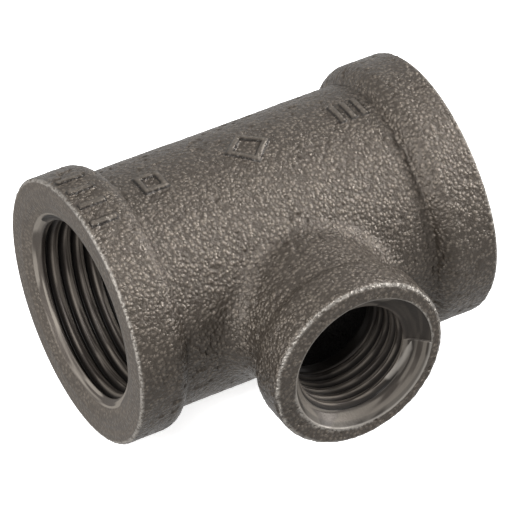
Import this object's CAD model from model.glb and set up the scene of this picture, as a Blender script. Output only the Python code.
import bpy
import math
import numpy as np
from mathutils import Matrix, Vector


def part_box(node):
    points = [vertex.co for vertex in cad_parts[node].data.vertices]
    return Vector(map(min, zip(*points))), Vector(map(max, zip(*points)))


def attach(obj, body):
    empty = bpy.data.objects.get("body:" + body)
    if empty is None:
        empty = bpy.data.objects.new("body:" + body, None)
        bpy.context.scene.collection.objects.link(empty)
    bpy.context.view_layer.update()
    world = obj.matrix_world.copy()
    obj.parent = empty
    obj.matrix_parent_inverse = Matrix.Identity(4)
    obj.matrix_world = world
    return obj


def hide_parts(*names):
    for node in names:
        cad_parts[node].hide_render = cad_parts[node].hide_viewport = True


# A black malleable iron reducing tee, 1 x 1 x 1/2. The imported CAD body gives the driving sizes.
# The visual casting is one closed mesh of structured patches: the run, the outlet, their fillet,
# the tapered threads and the cored waterways. Shape code works in millimetres along the CAD axes.

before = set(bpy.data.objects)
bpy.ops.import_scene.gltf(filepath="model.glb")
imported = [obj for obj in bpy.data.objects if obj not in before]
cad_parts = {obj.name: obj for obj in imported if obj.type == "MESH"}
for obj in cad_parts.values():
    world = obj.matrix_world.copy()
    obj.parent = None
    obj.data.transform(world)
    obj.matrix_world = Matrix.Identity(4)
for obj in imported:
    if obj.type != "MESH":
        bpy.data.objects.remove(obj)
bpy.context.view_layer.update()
MM = 0.001

# ---------------------------------------------------------------- sizes, in millimetres
low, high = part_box("tee_body")
RUN_HALF = high.x / MM
OUTLET_REACH = -low.y / MM
BAND_R = -low.z / MM

# Outside of the run and of the outlet
BARREL_R = 20.1
BAND_FLAT = 6.2
SHOULDER_R = 3.1
RIM_ROUND = 0.5
RUN_SOFTEN = 0.16
OUTLET_BAND_R = 15.1
NECK_R = 13.5
OUTLET_BAND_FLAT = 5.5
OUTLET_SHOULDER_R = 3.2
OUTLET_RIM_ROUND = 0.8
OUTLET_SOFTEN = 0.35
CROTCH_R = 4.0
NECK_START = 10.4

# Waterways
METAL = 3.4
RUN_CORE_R = BARREL_R - METAL
OUTLET_CORE_R = 10.7
CORE_CONE = 2.2

# Small errors of the real casting: all three ends stand a little proud, the right end leans out on
# the outlet's side, and the outlet was bored off centre. Shifts are along X and Z.
LEFT_PROUD = 0.10
RIGHT_PROUD = 0.20
RIGHT_LEAN = 0.70
LEAN_ANGLE = -0.10
LEAN_POWER = 4
OUTLET_PROUD = 0.20
MOUTH_SHIFT = np.array((0.79, -0.30))
MOUTH_SHIFT_FADE = 0.8
RIM_SHIFT = np.array((0.06, -0.08))

# Tapered threads: radii are at the face, and the mouth is given as (depth, radius) points
TAPER = 1 / 32
FLANK_ANGLE = math.radians(30)
ROOT_HALF = 0.06
THREAD_ROUND = 0.09
RUNOUT_PITCHES = 0.35
LAND_GAP = 0.02
LAND_CHAMFER = 0.12
LAND_LEAD = 0.5

# How pale the thread layer is where there is no crest, from 0 in a groove to 1 on a crest
BEVEL_CREST = 0.74
POCKET_CREST = 0.64
LAND_CREST = 0.5
RUN_THREAD = {
    "pitch": 25.4 / 11.5, "crest": 15.0, "root": 16.05, "length": 14.732,
    "land_r": 14.2, "land": 2.5, "core_r": RUN_CORE_R, "step": 0.1, "bevel_step": 0.1,
    "bevel_shine": 0.80,
    "mouth": ((0.0, 18.8), (0.6, 16.6), (1.57, 14.98)),
}
OUTLET_THREAD = {
    "pitch": 25.4 / 14, "crest": 9.35, "root": 10.25, "length": 10.922,
    "land_r": 8.8, "land": 2.0, "core_r": OUTLET_CORE_R, "step": 0.085, "bevel_step": 0.06,
    "bevel_shine": 0.30,
    "mouth": ((0.0, 12.2), (1.8, 10.4), (2.46, 9.3)),
}
LEFT_START = 0.30
RIGHT_START = 0.55
OUTLET_START = 0.43

# Where the tap broke out of the outlet's first thread: a pocket with one abrupt end
RELIEF_START = -4.0
RELIEF_SWEEP = 66.0
RELIEF_STEP = 0.55
RELIEF_LIP = 0.3
RELIEF_FADE = 0.7
RELIEF_EDGE = 0.02

# The bright lip of the first crest just below that pocket: angles in degrees, then depths
LIP_START = -5.0
LIP_SWEEP = 50.0
LIP_DEPTH = 1.75
LIP_FALL = 0.75
LIP_WIDTH = 0.32
LIP_LEAST_WIDTH = 0.01
LIP_GROW = 6
LIP_DIE = 8
LIP_HEIGHT = 0.16

# Where a ragged burr stands on the outlet's mouth: middles and half-widths in degrees
BURR_ANGLES = ((232, 55), (20, 34))
BURR_FADE = 14.0
BURR_WIDTH = 1.4
BURR_RAGGED = 0.25
BURR_WAVES = (31, 13)

# Bright worn edges: how far each fades
RUN_RIM_WEAR = 0.55
OUTLET_RIM_WEAR = 0.27
OUTLET_RIM_WEAR_PLACE = 0.25
MOUTH_WEAR = 0.25
MOUTH_WEAR_POWER = 9

# Plain raised marks on the upper side, placed along X and by distance round from the top
MARK_HEIGHT = 0.42
MARK_LINE = 1.0
MARK_SOFTEN = 0.22
DIAMOND_SIZE = 5.6
SQUARE_SIZE = 4.4
SQUARE_X = -17.3
BAR_LENGTH = 4.6
BAR_WIDTH = 1.1
BAR_XS = (16.4, 18.4, 20.4)
BAND_BAR_ANGLES = (-14, -4, 6, 16)

# A darker patch of scale low on the outlet's left side
SOOT_PLACE = np.array((-15.0, -30.0, -4.0))
SOOT_SIZE = 7.5
SOOT = 0.55

# Mesh density. The outlet grows out of a square patch of the run's barrel.
AROUND_RUN = 512
SQUARE_HALF = 80
AROUND_OUTLET = 8 * SQUARE_HALF
PATCH_X = 20.0
FAN_ROWS = 28
CORE_FAN_ROWS = 14
FAN_BIAS = 0.25
CROTCH_ROWS = 21
NECK_ROWS = 11
OUTLET_FACE_ROWS = 10
LAND_ROWS = 5
CONE_ROWS = 9
CORE_ROWS = 7
SKIN_STEP = 0.25
FINE_STEP = 0.02
SOFTEN_REACH = 3
FACE_STEP = 0.14
FACE_FIRST = 0.12
FACE_MARGIN = 0.1


# ---------------------------------------------------------------- outlines
def arc(centre, radius, start, end, count=40):
    """Points along an arc, its angles in degrees."""
    a = np.radians(np.linspace(start, end, count))
    return np.stack((centre[0] + radius * np.cos(a), centre[1] + radius * np.sin(a)), axis=-1)


def walk(outline, step, soften):
    """The outline evenly divided at about step, its corners softened like cast metal."""
    gaps = np.hypot(*np.diff(outline, axis=0).T)
    outline = outline[np.r_[True, gaps > 1e-9]]
    run = np.r_[0, np.cumsum(np.hypot(*np.diff(outline, axis=0).T))]
    fine = np.linspace(0, run[-1], int(run[-1] / FINE_STEP) + 2)
    line = np.stack([np.interp(fine, run, outline[:, k]) for k in (0, 1)], axis=-1)
    half = int(SOFTEN_REACH * soften / FINE_STEP)
    kernel = np.exp(-0.5 * (np.arange(-half, half + 1) * FINE_STEP / soften) ** 2)
    kernel /= kernel.sum()
    before = 2 * line[0] - line[half:0:-1]
    after = 2 * line[-1] - line[-2:-half - 2:-1]
    padded = np.concatenate((before, line, after))
    line = np.stack([np.convolve(padded[:, k], kernel, "valid") for k in (0, 1)], axis=-1)
    pick = np.linspace(0, len(line) - 1, round(run[-1] / step) + 1)
    return np.stack([np.interp(pick, np.arange(len(line)), line[:, k]) for k in (0, 1)], axis=-1)


def banded(start, length, flat, band_r, barrel_r, shoulder_r, rim, soften):
    """Outside of a barrel from start out to its banded end's face, as rows of (axis, radius)."""
    drop = band_r - barrel_r
    sweep = math.degrees(math.acos((shoulder_r - drop) / shoulder_r))
    outline = np.concatenate((
        [(start, barrel_r)],
        arc((length - flat, band_r - shoulder_r), shoulder_r, 90 + sweep, 90),
        arc((length - rim, band_r - rim), rim, 90, 0),
    ))
    return walk(outline, SKIN_STEP, soften)


# ---------------------------------------------------------------- threads
def soft_ramp(v):
    """0 below 0 and v above it, with a rounded corner."""
    return 0.5 * (v + np.sqrt(v * v + THREAD_ROUND * THREAD_ROUND))


def groove_cut(spec, depth, turn, start):
    """How deep the thread groove is cut, 0 at a crest and 1 at a root."""
    height = spec["root"] - spec["crest"]
    flank = height * math.tan(FLANK_ANGLE)
    away = np.abs(np.mod(depth / spec["pitch"] + turn - start, 1.0) - 0.5) * spec["pitch"]
    v = 1 - (away - ROOT_HALF) / flank
    cut = soft_ramp(v) - soft_ramp(v - 1)
    fade = np.clip((spec["length"] - depth) / (RUNOUT_PITCHES * spec["pitch"]), 0, 1)
    return np.clip(cut, 0, 1) * fade


def tapped(spec, start, turn, relief=None):
    """Rows from the mouth in to the core: a depth, then radii, crest and bevel round the ring."""
    mouth = np.array(spec["mouth"])
    bevel_rows = round(mouth[1, 0] / spec["bevel_step"])
    depths = np.concatenate((
        np.linspace(0, mouth[1, 0], bevel_rows, endpoint=False),
        np.arange(mouth[1, 0], spec["length"], spec["step"]),
    ))
    rows = []
    for d in depths:
        cut = groove_cut(spec, d, turn, start)
        radii = spec["crest"] - d * TAPER + (spec["root"] - spec["crest"]) * cut
        crest = 1 - cut
        bevel = np.zeros_like(turn)
        if d <= mouth[-1, 0]:
            pocket = np.zeros_like(turn) if relief is None else relief(d, turn)
            in_pocket = pocket > RELIEF_EDGE
            cone = np.interp(d, mouth[:, 0], mouth[:, 1]) + pocket
            on_cone = radii < cone
            crest = np.where(in_pocket, POCKET_CREST, crest)
            crest = np.where(on_cone, np.minimum(crest, BEVEL_CREST), crest)
            bevel = np.where(on_cone & ~in_pocket, spec["bevel_shine"], 0.0)
            radii = np.maximum(radii, cone) if d > 0 else cone
        rows.append((d, radii, crest, bevel))
    land_r = spec["land_r"]
    land_start = spec["length"] + LAND_GAP
    land_end = spec["length"] + spec["land"]
    tail = [(land_start, land_r + LAND_CHAMFER), (land_start + LAND_CHAMFER, land_r)]
    tail += [(d, land_r) for d in np.linspace(spec["length"] + LAND_LEAD, land_end, LAND_ROWS)]
    for t in np.linspace(0, 1, CONE_ROWS + 1)[1:]:
        tail.append((land_end + CORE_CONE * t, land_r + (spec["core_r"] - land_r) * t))
    rows += [(d, np.full_like(turn, r), LAND_CREST, 0.0) for d, r in tail]
    return rows


def outlet_relief(depth, turn):
    """How far the tap's break-out pocket stands outside the countersink, fading round the mouth."""
    angle = np.mod(turn * 360 - RELIEF_START, 360)
    along = np.clip(angle / RELIEF_SWEEP, 0, 1)
    step = RELIEF_STEP * min(1.0, depth / RELIEF_LIP)
    return step * (1 - along) ** RELIEF_FADE * (angle < RELIEF_SWEEP)


def first_crest(depth, turn):
    """1 along the bright lip where the outlet's first crest comes up out of the countersink."""
    angle = np.mod(turn * 360 - LIP_START, 360) - 360
    along = angle / -LIP_SWEEP
    lip_depth = LIP_DEPTH + LIP_FALL * along
    width = LIP_LEAST_WIDTH + LIP_WIDTH * np.clip(LIP_GROW * along, 0, 1)
    lip = np.exp(-((depth - lip_depth) / width) ** 2)
    return np.where(along < 1, lip * np.clip(LIP_DIE * (1 - along), 0, 1), 0)


def mouth_burr(turn):
    """1 where a ragged bright burr stands on the outlet's mouth, 0 elsewhere."""
    burr = np.zeros_like(turn)
    for middle, half in BURR_ANGLES:
        away = np.abs(np.mod(turn * 360 - middle + 180, 360) - 180)
        burr = np.maximum(burr, np.clip((half - away) / BURR_FADE, 0, 1))
    angle = 2 * np.pi * turn
    waves = np.sin(BURR_WAVES[0] * angle) * np.sin(BURR_WAVES[1] * angle + 1)
    return burr * (1 - BURR_RAGGED + BURR_RAGGED * waves)


# ---------------------------------------------------------------- shared points and quads
# skin is sand-cast, face is machined, thread is tapped, core is cored; wear, crest and bevel
# shade the edges, the thread and its mouth
LAYERS = ("skin", "face", "thread", "core", "wear", "crest", "bevel")


class Casting:
    """Collects shared points and quads. Each point also carries the surface layers."""

    def __init__(self):
        self.parts = []
        self.layers = {name: [] for name in LAYERS}
        self.count = 0
        self.quads = []

    def add(self, points, **layers):
        flat = np.asarray(points, float).reshape(-1, 3)
        shape = np.shape(points)[:-1]
        index = np.arange(self.count, self.count + len(flat)).reshape(shape)
        self.parts.append(flat)
        for name, values in self.layers.items():
            values.append(np.broadcast_to(layers.get(name, 0.0), shape).ravel())
        self.count += len(flat)
        return index

    def grid(self, index, wrap, flip=False):
        """Quads over a 2D array of point numbers, closed round the second axis if wrap."""
        if wrap:
            index = np.concatenate((index, index[:, :1]), axis=1)
        corners = [index[:-1, :-1], index[1:, :-1], index[1:, 1:], index[:-1, 1:]]
        if flip:
            corners.reverse()
        self.quads.append(np.stack(corners, axis=-1).reshape(-1, 4))

    def points(self):
        return np.concatenate(self.parts)


class Rings:
    """Equal rings of points, each with its own layer values."""

    def __init__(self):
        self.points = []
        self.layers = {name: [] for name in LAYERS}

    def add(self, points, **layers):
        self.points.append(points)
        for name, values in self.layers.items():
            values.append(np.broadcast_to(layers.get(name, 0.0), (len(points),)))

    def into(self, casting):
        return casting.add(self.points, **{name: np.array(v) for name, v in self.layers.items()})


casting = Casting()


def theta(column):
    """Angle of a column about the run, 0 at -Y and growing towards +Z."""
    return 2 * np.pi * np.asarray(column) / AROUND_RUN


def on_run(x, r, t):
    """Points at axial place x and radius r, at angle t about the run."""
    x, r, t = np.broadcast_arrays(x, r, t)
    return np.stack((x, -r * np.cos(t), r * np.sin(t)), axis=-1)


def run_end(side, start, proud, lean):
    """One banded, tapped end of the run. Rings go from the core's edge, round the rim, to the barrel."""
    t = theta(np.arange(AROUND_RUN))
    turn = -side * t / (2 * np.pi)
    stretch = 1 + (proud + lean * np.clip(np.cos(t - LEAN_ANGLE), 0, 1) ** LEAN_POWER) / BAND_FLAT
    band_start = RUN_HALF - BAND_FLAT

    def ring(axis, r):
        x = np.where(axis > band_start, band_start + (axis - band_start) * stretch, axis)
        return on_run(side * x, r, t)

    rings = Rings()
    core_start = RUN_THREAD["length"] + RUN_THREAD["land"]
    bevel_end = RUN_THREAD["mouth"][1][0]
    for d, r, crest, bevel in tapped(RUN_THREAD, start, turn)[::-1]:
        core = float(d > core_start)
        face = float(d <= bevel_end)
        thread = 1 - core - face
        rings.add(ring(RUN_HALF - d, r), core=core, face=face, thread=thread, crest=crest, bevel=bevel)
    outside = banded(
        PATCH_X, RUN_HALF, BAND_FLAT, BAND_R, BARREL_R, SHOULDER_R, RIM_ROUND, RUN_SOFTEN
    )[::-1]
    mouth_r = RUN_THREAD["mouth"][0][1]
    for r in np.arange(mouth_r + FACE_FIRST, outside[0, 1] - FACE_MARGIN, FACE_STEP):
        rings.add(ring(RUN_HALF, r), face=1, crest=1)
    for axis, r in outside:
        from_face = RUN_HALF - axis
        face = float(from_face < FACE_MARGIN)
        wear = math.exp(-(from_face / RUN_RIM_WEAR) ** 2)
        rings.add(ring(axis, r), face=face, skin=1 - face, wear=wear, crest=1)
    index = rings.into(casting)
    casting.grid(index, True, side > 0)
    return index[0], index[-1]


def square_loop(left, right, bottom, top):
    """Point numbers round a square patch, from the middle of its right side towards +Z and on round."""
    h = SQUARE_HALF
    return np.concatenate((
        right[np.arange(0, h)], top[:0:-1], left[np.arange(h, -h, -1)], bottom[:-1], right[np.arange(-h, 0)],
    ))


def back_of_tube(left, right, radius, x_half, inward, **layers):
    """The part of a tube along the run behind the square patch. Returns the patch's outline."""
    h = SQUARE_HALF
    columns = np.arange(h, AROUND_RUN - h + 1)
    x = np.linspace(-x_half, x_half, 2 * h + 1)[1:-1]
    inner = casting.add(on_run(x[:, None], radius, theta(columns)[None]), **layers)
    index = np.concatenate((left[None, columns], inner, right[None, columns]))
    casting.grid(index, False, inward)
    return square_loop(left, right, index[:, -1], index[:, 0])


def unrolled(points, radius):
    """Points on a tube along the run, laid flat: place along X and distance round."""
    return np.stack((points[:, 0], radius * np.arctan2(points[:, 2], -points[:, 1])), axis=-1)


def fan(loop, hole, radius, rows, inward, **layers):
    """Rings on a tube of this radius between a square outline and an inner loop of points."""
    outer = unrolled(casting.points()[loop], radius)
    inner = unrolled(hole, radius)
    s = np.linspace(0, 1, rows + 1)[1:-1, None, None]
    flat = outer + (inner - outer) * (s + FAN_BIAS * s * (1 - s))
    rings = casting.add(on_run(flat[..., 0], radius, flat[..., 1] / radius), **layers)
    casting.grid(np.concatenate((loop[None], rings)), True, not inward)
    return rings[-1]


def crotch_ring(phi, t):
    """The rolling-ball fillet between barrel and neck: t runs from 0 on the barrel to 1 on the neck."""
    reach = NECK_R + CROTCH_R
    cx, cz = reach * np.cos(phi), reach * np.sin(phi)
    cy = -np.sqrt((BARREL_R + CROTCH_R) ** 2 - cz**2)
    to_barrel = np.stack((0 * cx, -cy, -cz), axis=-1) / (BARREL_R + CROTCH_R)
    to_neck = np.stack((-np.cos(phi), 0 * phi, -np.sin(phi)), axis=-1)
    angle = np.arccos(np.clip((to_barrel * to_neck).sum(-1), -1, 1))[:, None]
    spun = (np.sin((1 - t) * angle) * to_barrel + np.sin(t * angle) * to_neck) / np.sin(angle)
    return np.stack((cx, cy, cz), axis=-1) + CROTCH_R * spun


def outlet(barrel_loop):
    """The outlet, from its fillet on the barrel, round its rim and in to where its core meets the run's."""
    phi = 2 * np.pi * np.arange(AROUND_OUTLET) / AROUND_OUTLET
    turn = phi / (2 * np.pi)
    face_y = OUTLET_REACH + OUTLET_PROUD

    def ring(reach, r, shift):
        x = shift[0] + r * np.cos(phi)
        z = shift[1] + r * np.sin(phi)
        return np.stack((x, np.full_like(phi, -reach), z), axis=-1)

    # The neck starts at the fillet's wavy edge and evens out towards the band
    rings = Rings()
    for t in np.linspace(0, 1, CROTCH_ROWS + 1):
        rings.add(crotch_ring(phi, t), skin=1, crest=1)
    neck_edge = rings.points[-1]
    outside = banded(
        face_y - NECK_START, face_y, OUTLET_BAND_FLAT, OUTLET_BAND_R, NECK_R,
        OUTLET_SHOULDER_R, OUTLET_RIM_ROUND, OUTLET_SOFTEN,
    )
    for s in np.linspace(0, 1, NECK_ROWS + 1)[1:-1]:
        points = neck_edge.copy()
        points[:, 1] += (-outside[0, 0] - points[:, 1]) * s
        rings.add(points, skin=1, crest=1)
    for reach, r in outside:
        from_face = face_y - reach
        near_rim = max(0.0, 1 - from_face / OUTLET_BAND_FLAT)
        wear = math.exp(-((from_face - OUTLET_RIM_WEAR_PLACE) / OUTLET_RIM_WEAR) ** 2)
        rings.add(ring(reach, r, RIM_SHIFT * near_rim), skin=1, crest=1, wear=wear)

    # The face is as cast, and the bore is off centre in it
    mouth_r = OUTLET_THREAD["mouth"][0][1]
    rim_r = outside[-1, 1]
    for s in np.linspace(0, 1, OUTLET_FACE_ROWS + 1)[1:-1]:
        shift = RIM_SHIFT + (MOUTH_SHIFT - RIM_SHIFT) * s
        from_mouth = (1 - s) * (rim_r - mouth_r)
        wear = np.clip(mouth_burr(turn) - from_mouth / BURR_WIDTH + s**MOUTH_WEAR_POWER, 0, 1)
        rings.add(ring(face_y, rim_r + (mouth_r - rim_r) * s, shift), skin=1, crest=1, wear=wear)
    core_start = OUTLET_THREAD["length"] + OUTLET_THREAD["land"]
    countersink = OUTLET_THREAD["mouth"][1][0]
    for d, r, crest, bevel in tapped(OUTLET_THREAD, OUTLET_START, turn, outlet_relief):
        shift = MOUTH_SHIFT * max(0.0, 1 - d / countersink) ** MOUTH_SHIFT_FADE
        core = float(d > core_start)
        lip = first_crest(d, turn)
        points = ring(face_y - d, r - LIP_HEIGHT * lip, shift)
        wear = np.maximum(math.exp(-(d / MOUTH_WEAR) ** 2), lip)
        crest = np.maximum(crest, lip)
        rings.add(points, core=core, thread=1 - core, crest=crest, wear=wear, bevel=bevel)
    core_edge = rings.points[-1]
    meet = core_edge.copy()
    meet[:, 1] = -np.sqrt(RUN_CORE_R**2 - meet[:, 2] ** 2)
    for s in np.linspace(0, 1, CORE_ROWS + 1)[1:]:
        rings.add(core_edge + (meet - core_edge) * s, core=1)

    index = rings.into(casting)
    foot = fan(barrel_loop, rings.points[0], BARREL_R, FAN_ROWS, False, skin=1, crest=1)
    casting.grid(np.stack((foot, index[0])), True, True)
    casting.grid(index, True, True)
    return index[-1], meet


left_core, left_barrel = run_end(-1, LEFT_START, LEFT_PROUD, 0)
right_core, right_barrel = run_end(1, RIGHT_START, RIGHT_PROUD, RIGHT_LEAN)
barrel_loop = back_of_tube(left_barrel, right_barrel, BARREL_R, PATCH_X, False, skin=1, crest=1)
meet_index, meet = outlet(barrel_loop)
core_half = RUN_HALF - RUN_THREAD["length"] - RUN_THREAD["land"] - CORE_CONE
core_loop = back_of_tube(left_core, right_core, RUN_CORE_R, core_half, True, core=1)
inner_foot = fan(core_loop, meet, RUN_CORE_R, CORE_FAN_ROWS, True, core=1)
casting.grid(np.stack((inner_foot, meet_index)), True)

points = casting.points()
quads = np.concatenate(casting.quads)
layers = {name: np.concatenate(values) for name, values in casting.layers.items()}


# ---------------------------------------------------------------- cast surface
# Relief of the sand-cast skin as (height, size, seed) of smooth noise
SWELLS = ((0.035, 9.0, 11), (0.014, 3.2, 7))
GRAINS = ((0.014, 1.15, 5), (0.042, 0.56, 3))
PIT_DEPTH = 0.22
PIT_NOISE = (1.0, 0.9, 23)
PIT_START = 0.62
PIT_SIDE = 0.2
SEAM_HEIGHT = 0.07
SEAM_WIDTH = 0.35
SEAM_NOISE = (0.4, 2.5, 31)
WEAR_NOISE = (0.10, 0.7, 41)

# Lathe marks: how far apart along the bore and across it, how often they change round it, the seed
LATHE_ALONG = 0.17
LATHE_ACROSS = 0.15
LATHE_ROUND = 3
LATHE_SEED = 53

# Whole numbers that scramble a lattice cell into a random value
CELL_PRIMES = np.array((73856093, 19349663, 83492791))
SEED_PRIME = 2654435761
MIX_PRIME = 1274126177
SEED_SHIFT = 17.31


def lattice_noise(p, size, seed):
    """Smooth noise from -1 to 1: random values on a lattice of this size, blended between."""
    q = p / size + seed * SEED_SHIFT
    cell = np.floor(q).astype(np.int64)
    f = q - cell
    f = f * f * f * (f * (f * 6 - 15) + 10)
    total = np.zeros(len(p))
    for corner in range(8):
        bit = np.array([(corner >> k) & 1 for k in range(3)])
        key = ((cell + bit) * CELL_PRIMES).sum(1) + seed * SEED_PRIME
        key = (key ^ (key >> 13)) * MIX_PRIME & 0x7FFFFFFF
        value = ((key ^ (key >> 16)) & 0xFFFF) / 32767.5 - 1
        total += value * np.where(bit, f, 1 - f).prod(1)
    return total


def relief_of(points, *noises):
    """The sum of several (height, size, seed) noises."""
    return sum(height * lattice_noise(points, size, seed) for height, size, seed in noises)


def smooth_step(v):
    v = np.clip(v, 0, 1)
    return v * v * (3 - 2 * v)


def box_mark(u, v, half_u, half_v):
    """1 inside a rectangle on the unrolled surface and 0 outside, with soft sides."""
    outside = np.maximum(np.abs(u) - half_u, np.abs(v) - half_v)
    return smooth_step(0.5 - outside / (2 * MARK_SOFTEN))


def hollow_mark(u, v, size):
    """1 on the outline of a square."""
    inner = size / 2 - MARK_LINE
    return box_mark(u, v, size / 2, size / 2) * (1 - box_mark(u, v, inner, inner))


def raised_marks(p):
    """How far the skin is raised by marks, from 0 to 1."""
    x = p[:, 0]
    from_top = np.arctan2(-p[:, 1], p[:, 2])
    round_barrel = BARREL_R * from_top
    turned = math.sqrt(0.5)
    marks = hollow_mark(turned * (x + round_barrel), turned * (x - round_barrel), DIAMOND_SIZE)
    marks = np.maximum(marks, hollow_mark(x - SQUARE_X, round_barrel, SQUARE_SIZE))
    for bar_x in BAR_XS:
        marks = np.maximum(marks, box_mark(x - bar_x, round_barrel, BAR_WIDTH / 2, BAR_LENGTH / 2))
    band_x = -(RUN_HALF - BAND_FLAT / 2)
    for angle in BAND_BAR_ANGLES:
        round_band = BAND_R * (from_top - math.radians(angle))
        marks = np.maximum(marks, box_mark(x - band_x, round_band, BAR_LENGTH / 2, BAR_WIDTH / 2))
    return marks


def vertex_normals(p, q):
    """Unit normals of points p under quads q, weighted by area."""
    face = np.cross(p[q[:, 2]] - p[q[:, 0]], p[q[:, 3]] - p[q[:, 1]])
    out = np.zeros_like(p)
    for k in range(3):
        for corner in range(4):
            out[:, k] += np.bincount(q[:, corner], face[:, k], len(p))
    return out / np.maximum(np.linalg.norm(out, axis=1, keepdims=True), 1e-12)


normals = vertex_normals(points, quads)
rough = np.maximum(layers["skin"], layers["core"])
swell_and_grain = relief_of(points, *SWELLS, *GRAINS)
pits = -PIT_DEPTH * smooth_step((relief_of(points, PIT_NOISE) - PIT_START) / PIT_SIDE)
marks = raised_marks(points) * layers["skin"] * (normals[:, 2] > 0.5)
seam = SEAM_HEIGHT * np.exp(-(points[:, 2] / SEAM_WIDTH) ** 2)
seam *= 1 - SEAM_NOISE[0] + relief_of(points, SEAM_NOISE)
burr = layers["wear"] * relief_of(points, WEAR_NOISE)
out_by = rough * (swell_and_grain + pits + seam + burr) + MARK_HEIGHT * marks
points = points + normals * out_by[:, None]
layers["mark"] = marks
from_soot = np.linalg.norm(points - SOOT_PLACE, axis=1)
layers["soot"] = SOOT * np.exp(-(from_soot / SOOT_SIZE) ** 2) * layers["skin"]

# Lathe marks run round each bore: fast noise along its axis, slow noise round it
in_outlet = (points[:, 1] < -BARREL_R) & (np.abs(points[:, 0]) < OUTLET_BAND_R)
along_axis = np.where(in_outlet, points[:, 1], points[:, 0])
side_axis = np.where(in_outlet, points[:, 0], points[:, 1])
radius = np.hypot(side_axis, points[:, 2])
lathe_place = np.stack((
    along_axis / LATHE_ALONG + radius / LATHE_ACROSS,
    LATHE_ROUND * side_axis / radius,
    LATHE_ROUND * points[:, 2] / radius,
), axis=-1)
layers["streak"] = lattice_noise(lathe_place, 1.0, LATHE_SEED)

# ---------------------------------------------------------------- the piece
mesh = bpy.data.meshes.new("tee_casting")
mesh.vertices.add(len(points))
mesh.vertices.foreach_set("co", (points * MM).astype(np.float32).ravel())
mesh.loops.add(len(quads) * 4)
mesh.loops.foreach_set("vertex_index", quads.astype(np.int32).ravel())
mesh.polygons.add(len(quads))
mesh.polygons.foreach_set("loop_start", np.arange(0, len(quads) * 4, 4, dtype=np.int32))
mesh.update(calc_edges=True)
mesh.polygons.foreach_set("use_smooth", np.ones(len(mesh.polygons), bool))
for name, values in layers.items():
    layer = mesh.attributes.new(name, "FLOAT", "POINT")
    layer.data.foreach_set("value", values.astype(np.float32))
tee = bpy.data.objects.new("tee_casting", mesh)
bpy.context.collection.objects.link(tee)
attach(tee, "root")
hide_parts("tee_body")


# ---------------------------------------------------------------- materials
class Graph:
    """A material's node tree, built from values and sockets."""

    def __init__(self, name):
        self.material = bpy.data.materials.new(name)
        self.material.use_nodes = True
        self.tree = self.material.node_tree
        self.shader = self.tree.nodes["Principled BSDF"]
        self.coords = self.tree.nodes.new("ShaderNodeTexCoord").outputs["Object"]

    def put(self, socket, value):
        if isinstance(value, bpy.types.NodeSocket):
            self.tree.links.new(value, socket)
        elif isinstance(value, tuple):
            socket.default_value = (*value, 1.0)
        else:
            socket.default_value = value

    def noise(self, size, detail=1.0, roughness=0.5):
        """Noise from about 0 to 1 with features of this size in millimetres."""
        node = self.tree.nodes.new("ShaderNodeTexNoise")
        self.put(node.inputs["Vector"], self.coords)
        self.put(node.inputs["Scale"], 1 / (size * MM))
        self.put(node.inputs["Detail"], detail)
        self.put(node.inputs["Roughness"], roughness)
        return node.outputs["Fac"]

    def grains(self, size):
        """Packed grains of this size in millimetres: distance from a grain's middle, and its own value."""
        node = self.tree.nodes.new("ShaderNodeTexVoronoi")
        self.put(node.inputs["Vector"], self.coords)
        self.put(node.inputs["Scale"], 1 / (size * MM))
        split = self.tree.nodes.new("ShaderNodeSeparateColor")
        self.put(split.inputs[0], node.outputs["Color"])
        return node.outputs["Distance"], split.outputs[0]

    def layer(self, name):
        node = self.tree.nodes.new("ShaderNodeAttribute")
        node.attribute_name = name
        return node.outputs["Fac"]

    def span(self, value, low, high, to_low=0.0, to_high=1.0):
        """Maps value from low..high to another range, clamped, with a smooth middle."""
        node = self.tree.nodes.new("ShaderNodeMapRange")
        node.interpolation_type = "SMOOTHSTEP"
        for socket, item in zip(node.inputs, (value, low, high, to_low, to_high)):
            self.put(socket, item)
        return node.outputs["Result"]

    def math(self, operation, a, b):
        node = self.tree.nodes.new("ShaderNodeMath")
        node.operation = operation
        self.put(node.inputs[0], a)
        self.put(node.inputs[1], b)
        return node.outputs["Value"]

    def mix(self, factor, a, b):
        """Colour a where factor is 0 and colour b where it is 1."""
        node = self.tree.nodes.new("ShaderNodeMix")
        node.data_type = "RGBA"
        self.put(node.inputs["Factor"], factor)
        self.put(node.inputs[6], a)
        self.put(node.inputs[7], b)
        return node.outputs[2]

    def blend(self, factor, a, b):
        """Number a where factor is 0 and number b where it is 1."""
        node = self.tree.nodes.new("ShaderNodeMix")
        self.put(node.inputs["Factor"], factor)
        self.put(node.inputs[2], a)
        self.put(node.inputs[3], b)
        return node.outputs[0]

    def bump(self, height, strength, distance, below=None):
        """A bump of this height in millimetres."""
        node = self.tree.nodes.new("ShaderNodeBump")
        self.put(node.inputs["Strength"], strength)
        self.put(node.inputs["Distance"], distance * MM)
        self.put(node.inputs["Height"], height)
        if below is not None:
            self.put(node.inputs["Normal"], below)
        return node.outputs["Normal"]


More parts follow.
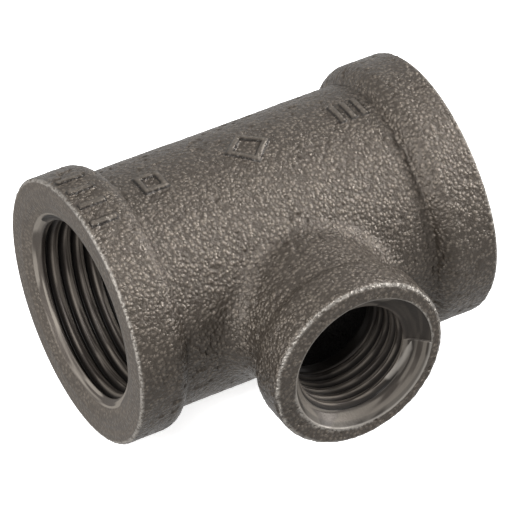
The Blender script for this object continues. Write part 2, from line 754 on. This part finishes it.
# Colours of the iron
SCALE_DARK = (0.057, 0.0465, 0.037)
SCALE_PALE = (0.150, 0.126, 0.102)
SCALE_PATCH = (0.060, 0.049, 0.040)
SOOT_DARK = (0.022, 0.018, 0.015)
MARK_PALE = (0.170, 0.150, 0.127)
MARK_CORNER = (0.014, 0.011, 0.009)
TURNED_DARK = (0.090, 0.075, 0.061)
TURNED_PALE = (0.150, 0.128, 0.106)
CREST_DARK = (0.036, 0.029, 0.024)
CREST_PALE = (0.120, 0.103, 0.086)
GROOVE_DEEP = (0.007, 0.0055, 0.0045)
GROOVE_SIDE = (0.020, 0.016, 0.013)
BEVEL_DARK = (0.070, 0.058, 0.048)
BEVEL_PALE = (0.240, 0.214, 0.184)
CORE_DARK = (0.010, 0.008, 0.007)
WORN_BRIGHT = (0.27, 0.25, 0.225)

# Its grain: sizes and bump heights in millimetres
GRAIN_SIZE = 0.62
LOOSE_SIZE = 0.60
LOOSE_SHARE = 0.62
FINE_SIZE = 0.28
PATCH_SIZE = 4.5
SAND_HEIGHT = 0.32
FINE_HEIGHT = 0.08


def cast_iron():
    g = Graph("cast_iron")
    from_middle, each_grain = g.grains(GRAIN_SIZE)
    dome = g.span(from_middle, 0.05, 0.75, 1.0, 0.0)
    loose = g.noise(LOOSE_SIZE, 4.0, 0.65)
    sand = g.blend(LOOSE_SHARE, dome, loose)
    fine = g.noise(FINE_SIZE, 2.0)
    patches = g.noise(PATCH_SIZE, 2.0)
    skin, thread, face = g.layer("skin"), g.layer("thread"), g.layer("face")
    crest, wear, core = g.layer("crest"), g.layer("wear"), g.layer("core")
    mark, streak = g.layer("mark"), g.layer("streak")

    # Scaled skin: paler on the grains, dark between them and in the corners round the marks
    pale = g.math("MULTIPLY", g.span(sand, 0.32, 0.70), g.span(each_grain, 0.0, 1.0, 0.55, 1.0))
    skin_colour = g.mix(pale, SCALE_DARK, SCALE_PALE)
    skin_colour = g.mix(g.span(patches, 0.40, 0.70, 0.0, 0.25), skin_colour, SCALE_PATCH)
    mark_top = g.span(mark, 0.75, 1.0, 0.0, 0.30)
    skin_colour = g.mix(mark_top, skin_colour, MARK_PALE)
    mark_foot = g.math("MULTIPLY", g.span(mark, 0.01, 0.25), g.span(mark, 0.45, 0.95, 0.95, 0.0))
    skin_colour = g.mix(mark_foot, skin_colour, MARK_CORNER)

    # Machined metal: rings left by the lathe, dark grooves and paler crests
    ringed = g.mix(g.span(streak, -0.5, 0.6), TURNED_DARK, TURNED_PALE)
    face_colour = g.mix(0.70, ringed, skin_colour)
    crest_colour = g.mix(g.span(streak, -0.4, 0.5), CREST_DARK, CREST_PALE)
    groove_colour = g.mix(g.span(crest, 0.0, 0.6), GROOVE_DEEP, GROOVE_SIDE)
    thread_colour = g.mix(g.span(crest, 0.50, 0.95), groove_colour, crest_colour)
    bevel_colour = g.mix(g.span(streak, -0.35, 0.35), BEVEL_DARK, BEVEL_PALE)
    thread_colour = g.mix(g.layer("bevel"), thread_colour, bevel_colour)
    skin_colour = g.mix(g.layer("soot"), skin_colour, SOOT_DARK)
    colour = g.mix(thread, skin_colour, thread_colour)
    colour = g.mix(face, colour, face_colour)
    colour = g.mix(core, colour, CORE_DARK)
    chipped = g.blend(thread, g.span(loose, 0.36, 0.56, 0.0, 0.9), 0.75)
    worn = g.math("MULTIPLY", g.span(wear, 0.30, 1.0), chipped)
    colour = g.mix(worn, colour, WORN_BRIGHT)
    g.put(g.shader.inputs["Base Color"], colour)

    metal = g.blend(thread, 0.50, 0.55)
    g.put(g.shader.inputs["Metallic"], g.blend(face, metal, 0.6))
    gloss = g.blend(thread, g.span(each_grain, 0.0, 1.0, 0.25, 0.44), g.span(streak, -0.6, 0.6, 0.46, 0.66))
    gloss = g.blend(face, gloss, g.span(streak, -0.6, 0.6, 0.40, 0.58))
    g.put(g.shader.inputs["Roughness"], g.blend(core, gloss, 0.8))

    strength = g.blend(thread, g.blend(face, g.span(mark, 0.0, 1.0, 1.0, 0.35), 0.60), 0.10)
    surface = g.bump(sand, strength, SAND_HEIGHT)
    surface = g.bump(fine, g.blend(skin, 0.30, 0.60), FINE_HEIGHT, surface)
    g.put(g.shader.inputs["Normal"], surface)
    return g.material


tee.data.materials.append(cast_iron())


# ---------------------------------------------------------------- stage and light
FLOOR_HALF = 40.0
FLOOR_COLOUR = (0.95, 0.95, 0.95, 1)
FLOOR_ROUGHNESS = 0.9
FLOOR_GLOW = 0.72
WHITE = (1, 1, 1, 1)


def pale_floor():
    material = bpy.data.materials.new("pale_floor")
    material.use_nodes = True
    inputs = material.node_tree.nodes["Principled BSDF"].inputs
    inputs["Base Color"].default_value = FLOOR_COLOUR
    inputs["Roughness"].default_value = FLOOR_ROUGHNESS
    inputs["Emission Color"].default_value = WHITE
    inputs["Emission Strength"].default_value = FLOOR_GLOW
    return material


floor_mesh = bpy.data.meshes.new("floor")
corners = [(-1, -1), (1, -1), (1, 1), (-1, 1)]
floor_mesh.from_pydata([(FLOOR_HALF * x, FLOOR_HALF * y, low.z) for x, y in corners], [], [(0, 1, 2, 3)])
floor_mesh.materials.append(pale_floor())
floor = bpy.data.objects.new("floor", floor_mesh)
bpy.context.collection.objects.link(floor)
floor.visible_diffuse = False
floor.visible_glossy = False

AMBIENT = 0.70
world = bpy.data.worlds.new("studio")
bpy.context.scene.world = world
world.use_nodes = True
background = world.node_tree.nodes["Background"]
background.inputs["Color"].default_value = WHITE
background.inputs["Strength"].default_value = AMBIENT


def softbox(name, place, size, power):
    """A square area light in metres and watts, facing the tee."""
    data = bpy.data.lights.new(name, "AREA")
    data.size = size
    data.energy = power
    lamp = bpy.data.objects.new(name, data)
    lamp.location = place
    lamp.rotation_euler = (-Vector(place)).to_track_quat("-Z", "Y").to_euler()
    bpy.context.collection.objects.link(lamp)


softbox("key", (0.75, -0.30, 0.35), 0.16, 7.4)
softbox("right_high", (0.60, 0.10, 0.60), 0.16, 3.8)
softbox("right_low", (0.85, -0.30, 0.02), 0.30, 1.4)
softbox("left", (-0.85, -0.10, 0.20), 0.40, 6.2)
softbox("left_high", (-0.50, -0.40, 0.65), 0.20, 5.0)

# ---------------------------------------------------------------- camera
# It looks at the origin from this far away, shifted a little to its right and down
AZIMUTH = math.radians(27.495)
ELEVATION = math.radians(38.741)
ROLL = math.radians(2.62)
DISTANCE = 0.7245
AIM_RIGHT = 0.66 * MM
AIM_DOWN = 1.59 * MM
LENS = 315.5

back = Vector((
    -math.sin(AZIMUTH) * math.cos(ELEVATION), -math.cos(AZIMUTH) * math.cos(ELEVATION), math.sin(ELEVATION),
))
level_right = back.cross(Vector((0, 0, -1))).normalized()
level_up = back.cross(level_right)
right = level_right * math.cos(ROLL) - level_up * math.sin(ROLL)
up = level_up * math.cos(ROLL) + level_right * math.sin(ROLL)
place = right * AIM_RIGHT - up * AIM_DOWN + back * DISTANCE
camera_data = bpy.data.cameras.new("camera")
camera_data.lens = LENS
camera_data.clip_start = 0.01
camera = bpy.data.objects.new("camera", camera_data)
camera.matrix_world = Matrix((
    (right.x, up.x, back.x, place.x),
    (right.y, up.y, back.y, place.y),
    (right.z, up.z, back.z, place.z),
    (0, 0, 0, 1),
))
bpy.context.collection.objects.link(camera)
bpy.context.scene.camera = camera
bpy.context.scene.view_settings.view_transform = "Standard"
